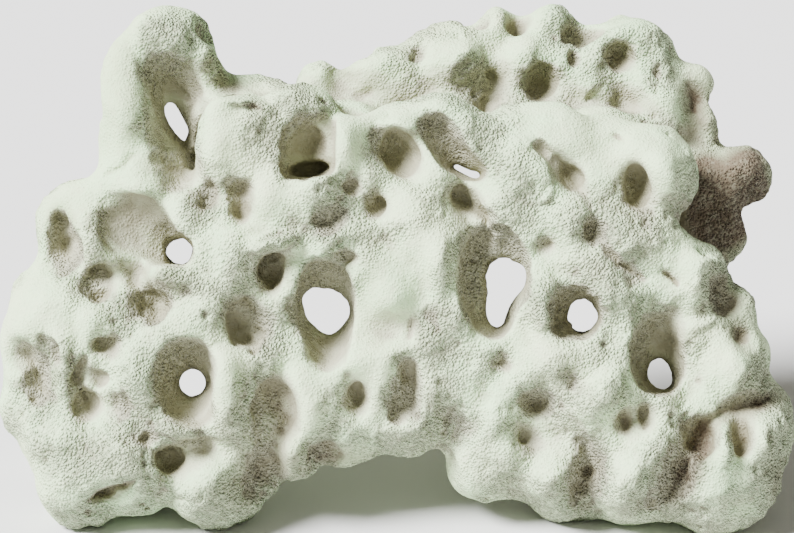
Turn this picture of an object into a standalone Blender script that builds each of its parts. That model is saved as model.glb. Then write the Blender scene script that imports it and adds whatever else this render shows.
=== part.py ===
"""A holey rock: one piece of pale, water-worn stone that stands on broad feet with an arch between them.

The rock is described as it is seen from the front and a little above. A flat sheet stands through its middle,
square to the line of sight. Places are millimetres across from the sheet's left edge, down from its top edge,
and deep behind it (negative is nearer to the viewer). Metres are used from place() on.
"""

import itertools
import math
import random

import bmesh
import bpy
import numpy as np
from mathutils import Matrix, Vector, noise
from mathutils.bvhtree import BVHTree
from mathutils.kdtree import KDTree

MM = 0.001

# The rock's own size on the sheet, and where it is looked at from.
SHEET_WIDE = 397.0
SHEET_HIGH = 266.5
EYE_DISTANCE = 1300.0
EYE_ELEVATION = math.radians(20.0)
SHEET_CENTRE_Z = 112.5

# How finely the stone is shaped before it is thinned out to flat facets.
MASS_GRAIN = 3.0 * MM
STONE_GRAIN = 2.2 * MM
FACETS = 9500

# The chalky surface.
STONE_COLOUR = (0.66, 0.70, 0.61, 1.0)
STONE_ROUGHNESS = 0.92

ACROSS = Vector((1, 0, 0))
UP = Vector((0, math.sin(EYE_ELEVATION), math.cos(EYE_ELEVATION)))
TOWARD = ACROSS.cross(UP)
CENTRE = Vector((0, 0, SHEET_CENTRE_Z)) * MM
EYE = CENTRE + TOWARD * EYE_DISTANCE * MM

# Masses: (across, down, deep), half sizes (wide, high, deep), roll clockwise in degrees.
LEFT_END = [
    ((46.5, 174, -12), (45.8, 41, 40), 0),
    ((33, 157, -5), (29.5, 31.5, 34), 0),
    ((31.5, 202, -8), (30.5, 24, 34), 0),
    ((37, 221, -18), (26.5, 21, 30), 0),
    ((46.5, 119, -8), (27.5, 31, 36), 0),
    ((32, 112, -8), (14, 16, 28), 0),
    ((41, 237, -24), (24.5, 26, 30), 0),
    ((63, 226, -20), (36, 31.3, 36), 0),
    ((107, 235.5, -27), (26, 28, 28), 0),
    ((70, 100, -12), (26, 26, 32), 0),
    ((64, 150, 22), (46, 46, 34), 0),
    ((58, 190, 38), (38, 40, 30), 0),
    ((56, 214, 52), (30, 34, 28), 0),
]
TOWER = [
    ((63, 55, -18), (14.5, 39, 23), 3),
    ((84.5, 21.5, -15), (23, 17.8, 22), 0),
    ((101.5, 40, -8), (11, 33, 22), -22),
    ((84, 60, -2), (22, 36, 15), 0),
    ((72, 88, -14), (24, 20, 30), 0),
]
MIDDLE = [
    ((128, 55, -2), (27, 17.5, 24), 8),
    ((120, 73, -34), (23, 25, 20), 0),
    ((150, 60, -24), (21, 17, 18), 10),
    ((160, 105, -30), (48, 48, 26), 0),
    ((122, 130, -28), (48, 48, 30), 0),
    ((200, 130, -28), (50, 52, 27), 0),
    ((108, 180, -28), (48, 52, 33), 0),
    ((126, 229, -27), (18, 20.5, 24), 0),
    ((147, 223, -27), (14, 16.5, 22), 0),
    ((172, 186, -28), (48, 45.5, 27), 0),
    ((205, 183, -28), (42, 43, 26), 0),
    ((212, 82, -22), (42, 34, 24), -10),
    ((255, 158, -30), (48, 48, 28), 0),
    ((268, 108, -24), (50, 42, 27), 0),
    ((268, 77, -20), (34, 26, 24), 0),
    ((222, 70, -4), (22, 16, 16), 0),
]
RIGHT_END = [
    ((322, 88, -20), (26.5, 26.5, 26), 0),
    ((304, 73, -14), (26, 15, 22), 15),
    ((300, 132, -26), (44, 38, 30), 0),
    ((336, 141, -18), (28, 24, 32), 0),
    ((351.5, 158, -16), (26.5, 19.5, 32), 0),
    ((350.5, 181, -20), (34, 27, 34), 0),
    ((363, 213, -18), (34.5, 30.5, 38), 0),
    ((356, 231, -26), (34.5, 34, 38), 0),
    ((336, 236, -26), (20, 24, 32), 0),
    ((317, 228, -24), (29, 33.2, 36), 0),
    ((283.5, 231, -20), (25, 30, 32), 0),
    ((258, 225, -18), (24, 23.5, 30), 0),
    ((244.5, 226, -18), (22, 23.5, 28), 0),
    ((300, 190, -28), (48, 40, 32), 0),
    ((255, 192, -28), (40, 36, 28), 0),
    ((345, 196, 44), (32, 40, 28), 0),
    ((350, 216, 58), (27, 34, 26), 0),
]
BACK_RIDGE = [
    ((159, 44, 18), (10.5, 14.5, 18), 0),
    ((176, 45, 22), (13, 13, 18), 0),
    ((195, 43.5, 26), (24, 21.5, 24), -15),
    ((172, 62, 4), (22, 13, 18), 0),
    ((224, 37, 34), (27, 26, 28), -10),
    ((238, 25, 40), (12, 15, 20), 0),
    ((249.5, 19, 46), (11, 16, 18), 0),
    ((263, 22, 46), (14, 15.5, 20), 0),
    ((276, 17, 46), (12.5, 16.5, 18), 0),
    ((298, 32, 42), (18, 20.5, 24), 0),
    ((315, 34, 42), (24.5, 26, 28), 0),
    ((264, 42, 38), (42, 28, 30), 0),
    ((346, 42.5, 40), (11.5, 12.5, 20), 0),
    ((334, 67, 36), (25.5, 25.5, 30), 0),
    ((300, 68, 14), (28, 15, 24), 0),
    ((262, 64, 14), (32, 14, 24), 0),
    ((226, 60, 14), (22, 13, 20), 0),
    ((371, 88.5, 30), (15.3, 16.8, 20), 0),
    ((350.5, 105, 28), (25.5, 33, 30), 0),
    ((334, 160, 32), (32, 60, 34), 0),
]

# Holes right through, along the line of sight: (across, down), half sizes and roll, how much wider
# the near end is, and how deep the hole runs from and to.
HOLES = {
    "tower_eye": ((88.5, 61.8), (4.2, 11), -24, 1.2, (-70, 60)),
    "upper_left": ((89.6, 125.6), (7.5, 7.5), 0, 1.1, (-90, 110)),
    "lower_left": ((96.4, 191.2), (7.2, 7.8), 0, 1.3, (-90, 130)),
    "middle": ((163, 155.6), (12.7, 11.9), 0, 1.05, (-90, 60)),
    "large_top": ((252.7, 138.8), (11.2, 11.4), 0, 1.05, (-90, 90)),
    "large_foot": ((248, 154.5), (5.8, 11), -5, 1.05, (-90, 90)),
    "right": ((290.9, 157.5), (8.2, 9.1), 0, 1.1, (-90, 110)),
    "lower_right": ((329.6, 187.2), (6.8, 8.6), 0, 1.2, (-90, 140)),
    "top_slit": ((234.2, 86), (9.8, 3), 22, 1.1, (-60, 90)),
}

# Pits sunk in the surface that faces the viewer: (across, down), half sizes (wide, high), depth, roll.
PITS = [
    ((66, 113), (18, 17), 32, 15),
    ((84, 122), (10, 9), 26, 0),
    ((92, 188), (16, 21), 20, 10),
    ((96, 205), (11, 9), 12, 0),
    ((161, 152), (15, 22), 24, 0),
    ((163, 176), (11, 11), 12, 0),
    ((242, 138), (14, 29), 26, 0),
    ((284, 157), (11, 13), 14, 0),
    ((328, 176), (14, 20), 24, 0),
    ((221, 68), (9, 16), 17, -42),
    ((153, 74), (13.5, 17), 26, 0),
    ((200, 77), (9, 13), 20, -25),
    ((282, 85), (6.5, 15), 12, -38),
    ((318.5, 93), (7, 13), 16, -5),
    ((309, 28), (8, 9), 14, 0),
    ((269.5, 42), (9, 10.5), 16, 0),
    ((258, 14), (6, 7), 12, 10),
    ((119.5, 95), (8, 8), 12, 0),
    ((49.5, 142), (8, 10), 14, 0),
    ((76.5, 153), (9.5, 10), 16, 0),
    ((43.5, 202), (7, 8.5), 11, 0),
    ((84.5, 229.5), (8.5, 7.5), 12, 0),
    ((135, 136), (7, 10), 13, 0),
    ((121, 161), (9, 13), 12, -12),
    ((137, 204), (12, 15), 13, -10),
    ((178, 198), (6, 8.5), 10, 0),
    ((268, 201), (8, 6.5), 11, 0),
    ((312, 211), (4.5, 7.5), 11, 0),
    ((351, 220), (8, 10), 14, 0),
    ((370.5, 219), (5, 11), 12, 0),
    ((361, 149), (7, 11), 10, -10),
]

# Lower relief on the same side, raised above the skin or, where negative, sunk below it:
# (across, down), half sizes (wide, high), height, roll.
RELIEF = [
    ((86, 44), (14, 22), -12.5, -25),
    ((30, 116), (9, 16), -7, 10),
    ((20, 186), (11, 19), -8.5, 15),
    ((53, 173), (10, 8), -10, 15),
    ((49, 188), (8, 8), -11, 0),
    ((37, 188), (7, 14), -8.5, 15),
    ((57, 246), (20, 6), -11, -18),
    ((73, 221), (6, 6), -7, 0),
    ((101, 222), (6, 7), -7, 0),
    ((104, 98), (8, 8), -8.5, 0),
    ((119, 106), (7, 9), -10, 0),
    ((164, 109), (14, 9), -10, -35),
    ((172, 129), (9, 7), -8.5, 0),
    ((175, 93), (8, 8), -7, 0),
    ((188, 102), (9, 9), -11, 0),
    ((231, 100), (8, 12), -11, -35),
    ((247, 38), (8, 11), -11, -40),
    ((209, 27), (7, 7), -8.5, 0),
    ((273, 122), (7, 6), -8.5, 30),
    ((297, 116), (9, 9), -12.5, 0),
    ((310, 133), (20, 4), -5.5, 40),
    ((262, 218), (8, 8), -8.5, 0),
    ((288, 192), (6, 9), -7, 20),
    ((251, 183), (8, 8), -7, 0),
    ((291, 221), (6, 7), -7, 0),
    ((322, 207), (7, 11), -10, 10),
    ((374, 201), (22, 7), -12.5, -10),
    ((371, 168), (8, 11), -10, -20),
    ((291, 243), (10, 19), -11, -5),
    ((325, 252), (8, 8), -8.5, 0),
    ((340, 240), (8, 16), -10, 25),
    ((338, 139), (9, 5), -5.5, 35),
    ((203, 195), (10, 22), -11, 0),
    ((162, 227), (12, 10), -11, 0),
    ((131, 238), (15, 18), -12.5, 30),
    ((128, 168), (7, 9), -8.5, 0),
    ((108, 54), (12, 10), 5.5, 0),
    ((126, 60), (12, 9), 4, 0),
    ((106, 74), (9, 14), 5.5, 0),
    ((172, 68), (9, 16), 7, 0),
    ((155, 92), (16, 6), 5.5, 0),
    ((187, 60), (12, 8), 5.5, 20),
    ((214, 88), (10, 10), 5.5, 0),
    ((241, 98), (14, 9), 5.5, 15),
    ((75, 96), (24, 7), 5.5, 8),
    ((63, 134), (9, 11), 5.5, 0),
    ((82, 139), (15, 8), 8.5, 15),
    ((30, 146), (14, 16), 5.5, 0),
    ((30, 174), (7, 12), 5.5, 0),
    ((70, 193), (9, 24), 7, 0),
    ((114, 190), (8, 22), 5.5, 0),
    ((88, 215), (18, 7), 7, 0),
    ((76, 240), (16, 10), 5.5, -10),
    ((106, 240), (14, 15), 5.5, 0),
    ((137, 120), (18, 8), 7, -12),
    ((146, 138), (8, 12), 5.5, 0),
    ((156, 205), (8, 18), 5.5, 0),
    ((192, 152), (15, 15), 5.5, 0),
    ((205, 118), (16, 14), 5.5, 0),
    ((182, 176), (14, 12), 4, 0),
    ((218, 134), (9, 28), 7, 0),
    ((224, 160), (12, 14), 4, 0),
    ((272, 148), (8, 16), 4, 0),
    ((278, 180), (16, 10), 5.5, -20),
    ((308, 150), (14, 16), 5.5, 0),
    ((346, 168), (12, 18), 5.5, 0),
    ((352, 131), (13, 7), 7, 30),
    ((302, 196), (8, 22), 5.5, 30),
    ((333, 222), (10, 14), 7, 0),
    ((311, 240), (13, 16), 5.5, 0),
    ((270, 240), (15, 12), 5.5, 0),
    ((358, 245), (14, 13), 5.5, 0),
    ((382, 222), (9, 14), 5.5, 0),
    ((361, 220), (5, 14), 7, 0),
    ((344, 205), (18, 7), 7, -15),
    ((300, 84), (12, 20), 4, -30),
    ((332, 84), (12, 20), 5.5, 0),
    ((234, 28), (18, 8), 4, 0),
    ((292, 44), (12, 12), 4, 0),
    ((322, 46), (10, 14), 4, 0),
]

# Hollows in the sides that the viewer doesn't see. They are looked at along a direction, from outside.
# (x, y, z) is a point that the look passes through, then the hollow's radius and its depth.
HIDDEN_PITS = {
    (0, -1, 0): [
        ((-150, 0, 118), 15, 16),
        ((-112, 0, 74), 12, 15),
        ((-160, 0, 62), 11, 11),
        ((-128, 0, 28), 13, 12),
        ((-96, 0, 128), 9, 9),
        ((-116, 0, 186), 9, 9),
        ((-30, 0, 196), 11, 11),
        ((18, 0, 172), 14, 14),
        ((62, 0, 196), 12, 13),
        ((104, 0, 176), 15, 15),
        ((146, 0, 150), 11, 12),
        ((112, 0, 118), 13, 14),
        ((150, 0, 96), 10, 10),
        ((128, 0, 64), 14, 14),
        ((158, 0, 34), 10, 10),
        ((-62, 0, 150), 10, 9),
        ((20, 0, 110), 10, 8),
        ((-10, 0, 74), 9, 7),
    ],
    (1, 0, 0): [
        ((0, -30, 132), 13, 13),
        ((0, 12, 104), 11, 12),
        ((0, -48, 84), 10, 9),
        ((0, 30, 62), 13, 13),
        ((0, -20, 44), 10, 9),
        ((0, 8, 196), 9, 8),
    ],
    (-1, 0, 0): [
        ((0, 36, 128), 12, 13),
        ((0, -6, 92), 12, 12),
        ((0, 30, 78), 10, 10),
        ((0, 34, 30), 11, 11),
        ((0, 62, 168), 11, 11),
        ((0, -30, 30), 9, 8),
    ],
    (0, 0, -1): [
        ((-155, 10, 0), 11, 10),
        ((-92, 22, 0), 9, 9),
        ((-20, 60, 0), 9, 8),
        ((40, 74, 0), 9, 8),
        ((96, 70, 0), 10, 10),
        ((150, 34, 0), 9, 8),
    ],
}

# Small worn lumps and dimples all over, thinner on the ground where the viewer looks.
SEED = 11
WEAR_SPACING = 13 * MM
WEAR_RADIUS = (11 * MM, 19 * MM)
WEAR_SLOPES = (0.42, 0.3, 0.2, -0.2, -0.34, -0.5)
OUTLINE_WEAR = 0.15
FRONT_WEAR = 0.45
EDGE_ON = 0.2
WELL_TURNED = 0.65
WAVES = [(27 * MM, 0.9 * MM), (11 * MM, 0.5 * MM)]

# How far behind or before its middle a relief mark still moves the skin.
RELIEF_REACH = 28 * MM

# The feet are worn flat where the rock stands.
FLOOR_DEEP = 30 * MM
FLOOR_WIDE = 600 * MM


def place(across, down, deep=0.0):
    """The point at that place on the sheet, carried along its line of sight to that depth."""
    on_sheet = CENTRE + (ACROSS * (across - SHEET_WIDE / 2) + UP * (SHEET_HIGH / 2 - down)) * MM
    return EYE + (on_sheet - EYE) * (1 + deep / EYE_DISTANCE)


def along_sight(at, roll=0.0):
    """A frame at a point whose axes run across, up and toward the viewer, rolled clockwise on the sheet."""
    toward = (EYE - at).normalized()
    across = UP.cross(toward).normalized()
    turned = Matrix((across, toward.cross(across), toward)).transposed().to_4x4()
    return Matrix.Translation(at) @ turned @ Matrix.Rotation(math.radians(-roll), 4, "Z")


def sized(half_sizes):
    return Matrix.Diagonal((*half_sizes, 1))


def ball(bm, frame, half_sizes, finely=3):
    bmesh.ops.create_icosphere(bm, subdivisions=finely, radius=1, matrix=frame @ sized(half_sizes))


def add_object(name, bm, collection):
    mesh = bpy.data.meshes.new(name)
    bm.to_mesh(mesh)
    bm.free()
    thing = bpy.data.objects.new(name, mesh)
    collection.objects.link(thing)
    return thing


def settle(thing):
    """Keeps the shape that the object's modifiers give it, and drops them."""
    graph = bpy.context.evaluated_depsgraph_get()
    mesh = bpy.data.meshes.new_from_object(thing.evaluated_get(graph))
    thing.modifiers.clear()
    thing.data = mesh
    return thing


def fuse(thing, grain):
    """Joins everything in the object into one skin."""
    remesh = thing.modifiers.new("Fuse", "REMESH")
    remesh.mode = "VOXEL"
    remesh.voxel_size = grain
    return settle(thing)


def soften(thing, rounds):
    smooth = thing.modifiers.new("Wear", "SMOOTH")
    smooth.factor = 0.5
    smooth.iterations = rounds
    return settle(thing)


def skin_of(thing):
    return BVHTree.FromObject(thing, bpy.context.evaluated_depsgraph_get())


def thickness(skin, at, outward):
    """How much stone lies under that point of the skin."""
    inward = -outward
    under = skin.ray_cast(at + inward * 0.5 * MM, inward)[3]
    return under or MASS_GRAIN


def masses(collection):
    """The rock's big forms: two ends, a tower, a leaning front wall and a ridge behind it."""
    bm = bmesh.new()
    for at, half_sizes, roll in LEFT_END + TOWER + MIDDLE + RIGHT_END + BACK_RIDGE:
        ball(bm, along_sight(place(*at), roll), Vector(half_sizes) * MM, finely=4)
    return soften(fuse(add_object("rock", bm, collection), MASS_GRAIN), 3)


def wavy(stone):
    """Moves the skin in and out a little, in slow waves."""
    normals = [vertex.normal.copy() for vertex in stone.data.vertices]
    for vertex, normal in zip(stone.data.vertices, normals):
        for length, height in WAVES:
            vertex.co += normal * height * noise.noise(vertex.co / length)


def wear_marks(stone, rng):
    """Spots spread evenly over the skin, with the way out of the stone at each."""
    spots = []
    cells = {}
    around = list(itertools.product((-1, 0, 1), repeat=3))
    vertices = list(stone.data.vertices)
    rng.shuffle(vertices)
    for vertex in vertices:
        cell = tuple(math.floor(value / WEAR_SPACING) for value in vertex.co)
        near = ((cell[0] + i, cell[1] + j, cell[2] + k) for i, j, k in around)
        taken = (spot for key in near for spot in cells.get(key, ()))
        if any((spot - vertex.co).length < WEAR_SPACING for spot in taken):
            continue
        cells.setdefault(cell, []).append(vertex.co.copy())
        spots.append((vertex.co.copy(), vertex.normal.copy()))
    return spots


def wear_share(at, outward):
    """How much of the wear a point takes: all where it is turned away, half in front, little at the outline."""
    facing = outward.dot((EYE - at).normalized())
    most = FRONT_WEAR if facing > 0 else 1.0
    turned = min(max((abs(facing) - EDGE_ON) / (WELL_TURNED - EDGE_ON), 0.0), 1.0)
    return OUTLINE_WEAR + (most - OUTLINE_WEAR) * turned


def weather(stone):
    """Raises worn lumps and sinks dimples in the skin."""
    rng = random.Random(SEED)
    skin = skin_of(stone)
    spots = wear_marks(stone, rng)
    vertices = stone.data.vertices
    tree = KDTree(len(vertices))
    for index, vertex in enumerate(vertices):
        tree.insert(vertex.co, index)
    tree.balance()
    shares = [wear_share(vertex.co, vertex.normal) for vertex in vertices]
    for at, outward in spots:
        radius = rng.uniform(*WEAR_RADIUS)
        height = radius * rng.choice(WEAR_SLOPES)
        if height < 0:
            height = max(height, -0.4 * thickness(skin, at, outward))
        for _, index, distance in tree.find_range(at, radius):
            share = shares[index] * (1 - (distance / radius) ** 2) ** 2
            vertices[index].co += outward * height * share
    stone.data.update()


def upright_on(at, outward, turn):
    """A frame whose third axis is the way out of the stone, turned about it."""
    turned = outward.to_track_quat("Z", "Y").to_matrix().to_4x4()
    return Matrix.Translation(at) @ turned @ Matrix.Rotation(turn, 4, "Z")


def shape_relief(stone):
    """Raises and sinks the marks of RELIEF along the lines of sight, on the skin that the viewer sees first."""
    skin = skin_of(stone)
    vertices = stone.data.vertices
    places = np.empty(3 * len(vertices))
    vertices.foreach_get("co", places)
    places = places.reshape(-1, 3)
    sights = places - np.array(EYE)
    distances = -sights @ np.array(TOWARD)
    on_sheet = sights * (EYE_DISTANCE / distances)[:, None]
    across = on_sheet @ np.array(ACROSS) + SHEET_WIDE / 2
    down = SHEET_HIGH / 2 - on_sheet @ np.array(UP)
    for (mark_across, mark_down), (wide, high), height, roll in RELIEF:
        at = skin.ray_cast(EYE, (place(mark_across, mark_down) - EYE).normalized())[0]
        turn = math.radians(roll)
        along = (across - mark_across) * math.cos(turn) + (down - mark_down) * math.sin(turn)
        over = (down - mark_down) * math.cos(turn) - (across - mark_across) * math.sin(turn)
        reach = (along / wide) ** 2 + (over / high) ** 2
        seen = np.abs(distances + (at - EYE).dot(TOWARD)) < RELIEF_REACH
        raised = np.where(seen & (reach < 1), height * MM * (1 - reach) ** 2, 0)
        places += raised[:, None] * np.array(TOWARD)
    vertices.foreach_set("co", places.ravel())
    stone.data.update()


def front_hollows(bm, skin):
    """The holes right through, and the pits that the viewer sees, each centred where its sight meets the skin."""
    for (across, down), (wide, high), roll, flare, (near, far) in HOLES.values():
        start, end = place(across, down, near), place(across, down, far)
        frame = along_sight((start + end) / 2, roll) @ sized((wide * MM, high * MM, 1))
        bmesh.ops.create_cone(
            bm,
            cap_ends=True,
            segments=32,
            radius1=1 + far / EYE_DISTANCE,
            radius2=flare * (1 + near / EYE_DISTANCE),
            depth=(end - start).length,
            matrix=frame,
        )
    for (across, down), (wide, high), depth, roll in PITS:
        at = skin.ray_cast(EYE, (place(across, down) - EYE).normalized())[0]
        ball(bm, along_sight(at, roll), Vector((wide, high, depth)) * MM)


def hidden_hollows(bm, skin):
    """The pits in the back, the two ends and the top, never deeper than half the stone under them."""
    for look, pits in HIDDEN_PITS.items():
        look = Vector(look)
        for point, radius, depth in pits:
            start = Vector(point) * MM - look
            at, outward, _, _ = skin.ray_cast(start, look)
            deep = min(depth * MM, 0.45 * thickness(skin, at, outward))
            ball(bm, upright_on(at, outward, radius), (radius * 1.15 * MM, radius * MM, deep))


def carve(stone, collection):
    """Takes every hole and pit out of the stone with one cutter."""
    skin = skin_of(stone)
    bm = bmesh.new()
    front_hollows(bm, skin)
    hidden_hollows(bm, skin)
    cutter = fuse(add_object("hollows", bm, collection), STONE_GRAIN)
    hole = stone.modifiers.new("Hollows", "BOOLEAN")
    hole.operation = "DIFFERENCE"
    hole.object = cutter
    settle(stone)
    bpy.data.objects.remove(cutter)
    return soften(fuse(stone, STONE_GRAIN), 3)


def largest_body(stone):
    """Drops crumbs that the carving left loose."""
    bm = bmesh.new()
    bm.from_mesh(stone.data)
    unseen = set(bm.verts)
    bodies = []
    while unseen:
        body = [unseen.pop()]
        for vertex in body:
            for edge in vertex.link_edges:
                other = edge.other_vert(vertex)
                if other in unseen:
                    unseen.remove(other)
                    body.append(other)
        bodies.append(body)
    bodies.sort(key=len)
    for body in bodies[:-1]:
        bmesh.ops.delete(bm, geom=body, context="VERTS")
    bm.to_mesh(stone.data)
    bm.free()


def stand_on_origin(stone):
    """Moves the rock sideways so that its outline from above is centred on the origin."""
    middles = []
    for axis in range(2):
        values = [vertex.co[axis] for vertex in stone.data.vertices]
        middles.append((min(values) + max(values)) / 2)
    stone.data.transform(Matrix.Translation((-middles[0], -middles[1], 0)))


def flat_feet(stone, collection):
    """Cuts the rock off level where it stands."""
    bm = bmesh.new()
    under = Matrix.Translation((0, 0, -FLOOR_DEEP / 2)) @ sized((FLOOR_WIDE, FLOOR_WIDE, FLOOR_DEEP))
    bmesh.ops.create_cube(bm, size=1, matrix=under)
    floor = add_object("ground", bm, collection)
    floor.display_type = "WIRE"
    floor.hide_render = True
    level = stone.modifiers.new("Level feet", "BOOLEAN")
    level.operation = "DIFFERENCE"
    level.object = floor


def chalk():
    material = bpy.data.materials.new("chalk")
    material.use_nodes = True
    surface = material.node_tree.nodes["Principled BSDF"]
    surface.inputs["Base Color"].default_value = STONE_COLOUR
    surface.inputs["Roughness"].default_value = STONE_ROUGHNESS
    surface.inputs["Metallic"].default_value = 0.0
    return material


def named_collection(name):
    collection = bpy.data.collections.new(name)
    bpy.context.scene.collection.children.link(collection)
    return collection


def build():
    for thing in list(bpy.data.objects):
        bpy.data.objects.remove(thing)
    rock_parts = named_collection("holey_rock")
    cutters = named_collection("cutters")
    stone = masses(rock_parts)
    wavy(stone)
    weather(stone)
    shape_relief(stone)
    soften(fuse(stone, STONE_GRAIN), 1)
    carve(stone, cutters)
    largest_body(stone)
    stone.name = "rock"
    stone.data.materials.clear()
    stone.data.materials.append(chalk())
    thin = stone.modifiers.new("Facets", "DECIMATE")
    thin.ratio = FACETS / (2 * len(stone.data.polygons))
    settle(stone)
    stand_on_origin(stone)
    stone.data.shade_smooth()
    flat_feet(stone, cutters)


build()
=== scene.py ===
"""A holey rock: one piece of pale, chalky stone, worn by water, on a pale floor."""

import math
import random

import bmesh
import bpy
import numpy as np
from mathutils import Matrix, Vector, noise
from mathutils.bvhtree import BVHTree
from mathutils.kdtree import KDTree


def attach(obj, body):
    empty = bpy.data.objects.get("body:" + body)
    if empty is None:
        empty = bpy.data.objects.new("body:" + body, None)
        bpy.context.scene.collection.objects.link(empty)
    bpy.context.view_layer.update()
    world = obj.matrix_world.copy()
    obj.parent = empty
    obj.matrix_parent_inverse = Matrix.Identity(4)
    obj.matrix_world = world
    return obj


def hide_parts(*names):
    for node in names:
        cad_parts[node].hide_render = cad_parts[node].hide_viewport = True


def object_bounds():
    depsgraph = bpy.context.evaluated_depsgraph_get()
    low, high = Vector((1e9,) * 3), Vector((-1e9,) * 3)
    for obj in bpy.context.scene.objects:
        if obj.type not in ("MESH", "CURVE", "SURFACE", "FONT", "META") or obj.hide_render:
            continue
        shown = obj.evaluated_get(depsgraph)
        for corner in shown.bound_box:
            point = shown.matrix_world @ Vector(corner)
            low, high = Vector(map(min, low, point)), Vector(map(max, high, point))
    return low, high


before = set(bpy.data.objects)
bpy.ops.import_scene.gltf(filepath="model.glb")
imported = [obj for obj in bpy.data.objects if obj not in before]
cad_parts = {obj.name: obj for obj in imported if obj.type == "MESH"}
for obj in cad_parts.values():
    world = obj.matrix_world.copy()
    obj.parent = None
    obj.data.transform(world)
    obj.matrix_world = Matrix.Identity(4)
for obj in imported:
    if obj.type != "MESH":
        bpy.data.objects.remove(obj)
cad_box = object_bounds()


# The view. The rock is seen from the front and a little above. A flat sheet stands through its middle, square
# to the line of sight. Places on it are millimetres across from its left edge and down from its top edge, and
# deep is how far behind it a point lies.
MM = 0.001
SHEET_WIDE = 397.0
SHEET_HIGH = 266.5
SHEET_CENTRE = Vector((0.65, -4.63, 112.5)) * MM
EYE_DISTANCE = 1300.0
EYE_ELEVATION = math.radians(20)
SENSOR_WIDE = 36.0

ACROSS = Vector((1, 0, 0))
UP = Vector((0, math.sin(EYE_ELEVATION), math.cos(EYE_ELEVATION)))
TOWARD = ACROSS.cross(UP)
EYE = SHEET_CENTRE + TOWARD * EYE_DISTANCE * MM

camera = bpy.data.objects.new("camera", bpy.data.cameras.new("camera"))
bpy.context.scene.collection.objects.link(camera)
camera.data.sensor_width = SENSOR_WIDE
camera.data.lens = SENSOR_WIDE * EYE_DISTANCE / SHEET_WIDE
camera.data.clip_start = 0.05
camera.data.clip_end = 50
camera.location = EYE
camera.rotation_mode = "QUATERNION"
camera.rotation_quaternion = (-TOWARD).to_track_quat("-Z", "Y")
bpy.context.scene.camera = camera


# The rock. It is one piece of soft limestone, eaten by water into holes, pits and ledges. Its big form is the
# solid's; here the skin is made fine and smooth, then hollowed, dented and grained where the real one is.
BODY_GRAIN = 2.0 * MM
BODY_ROUNDS = 8
LUMP_ROUNDS = 60
LUMP_GAIN = 0.9
OFF_SKIN = 0.6
SIGHT_REACH = 0.6


def add_mesh_object(name, mesh):
    thing = bpy.data.objects.new(name, mesh)
    bpy.context.scene.collection.objects.link(thing)
    return thing


def settle(thing):
    """Keeps the shape that the object's modifiers give it, and drops them."""
    graph = bpy.context.evaluated_depsgraph_get()
    mesh = bpy.data.meshes.new_from_object(thing.evaluated_get(graph))
    thing.modifiers.clear()
    thing.data = mesh
    return thing


def refine(thing, grain):
    """Gives the object one even skin of that grain."""
    remesh = thing.modifiers.new("Skin", "REMESH")
    remesh.mode = "VOXEL"
    remesh.voxel_size = grain
    return settle(thing)


def soften(thing, rounds):
    smooth = thing.modifiers.new("Wear", "SMOOTH")
    smooth.factor = 0.5
    smooth.iterations = rounds
    return settle(thing)


def skin_of(thing):
    return BVHTree.FromObject(thing, bpy.context.evaluated_depsgraph_get())


def places_of(thing):
    places = np.empty(3 * len(thing.data.vertices))
    thing.data.vertices.foreach_get("co", places)
    return places.reshape(-1, 3)


def normals_of(thing):
    normals = np.empty(3 * len(thing.data.vertices))
    thing.data.vertices.foreach_get("normal", normals)
    return normals.reshape(-1, 3)


def move_to(thing, places):
    thing.data.vertices.foreach_set("co", places.ravel())
    thing.data.update()


def bring_out(thing, rounds, gain):
    """Makes the lumps and hollows of the skin deeper."""
    places = places_of(thing)
    evened = add_mesh_object("evened", thing.data.copy())
    soften(evened, rounds)
    move_to(thing, places + gain * (places - places_of(evened)))
    bpy.data.objects.remove(evened)


body = bmesh.new()
body.from_mesh(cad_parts["rock"].data)
bmesh.ops.remove_doubles(body, verts=body.verts, dist=0.01 * MM)
body_mesh = bpy.data.meshes.new("holey_rock")
body.to_mesh(body_mesh)
body.free()
rock = add_mesh_object("holey_rock", body_mesh)
refine(rock, BODY_GRAIN)
soften(rock, BODY_ROUNDS)
bring_out(rock, LUMP_ROUNDS, LUMP_GAIN)


def place(across, down, deep=0.0):
    """The point at that place on the sheet, carried along its line of sight to that depth."""
    at = SHEET_CENTRE + (ACROSS * (across - SHEET_WIDE / 2) + UP * (SHEET_HIGH / 2 - down)) * MM
    return EYE + (at - EYE) * (1 + deep / EYE_DISTANCE)


def on_sheet(points):
    """Where points lie on the sheet: across, down and deep, in millimetres."""
    sights = points - np.array(EYE)
    distances = -sights @ np.array(TOWARD)
    flat = sights * (EYE_DISTANCE / distances)[:, None]
    across = flat @ np.array(ACROSS) + SHEET_WIDE / 2
    down = SHEET_HIGH / 2 - flat @ np.array(UP)
    return across, down, distances / MM - EYE_DISTANCE


def seen_from_eye(thing):
    """1 for each point of the skin that the viewer sees, else 0."""
    skin = skin_of(thing)
    seen = []
    for vertex in thing.data.vertices:
        start = vertex.co + vertex.normal * OFF_SKIN * MM
        toward_eye = EYE - start
        blocked = skin.ray_cast(start, toward_eye.normalized(), SIGHT_REACH)[0]
        seen.append(0.0 if blocked or vertex.normal.dot(TOWARD) < 0 else 1.0)
    return np.array(seen)


def on_marks(across, down, marks, reach=1.0):
    """The sum of soft oval marks at each place: (across, down), half sizes, roll clockwise and strength."""
    total = np.zeros(len(across))
    for (x, y), (wide, high), roll, strength in marks:
        turn = math.radians(roll)
        along = (across - x) * math.cos(turn) + (down - y) * math.sin(turn)
        over = (down - y) * math.cos(turn) - (across - x) * math.sin(turn)
        far = (along / wide / reach) ** 2 + (over / high / reach) ** 2
        total += strength * np.clip(1 - far, 0, 1) ** 2
    return total


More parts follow.
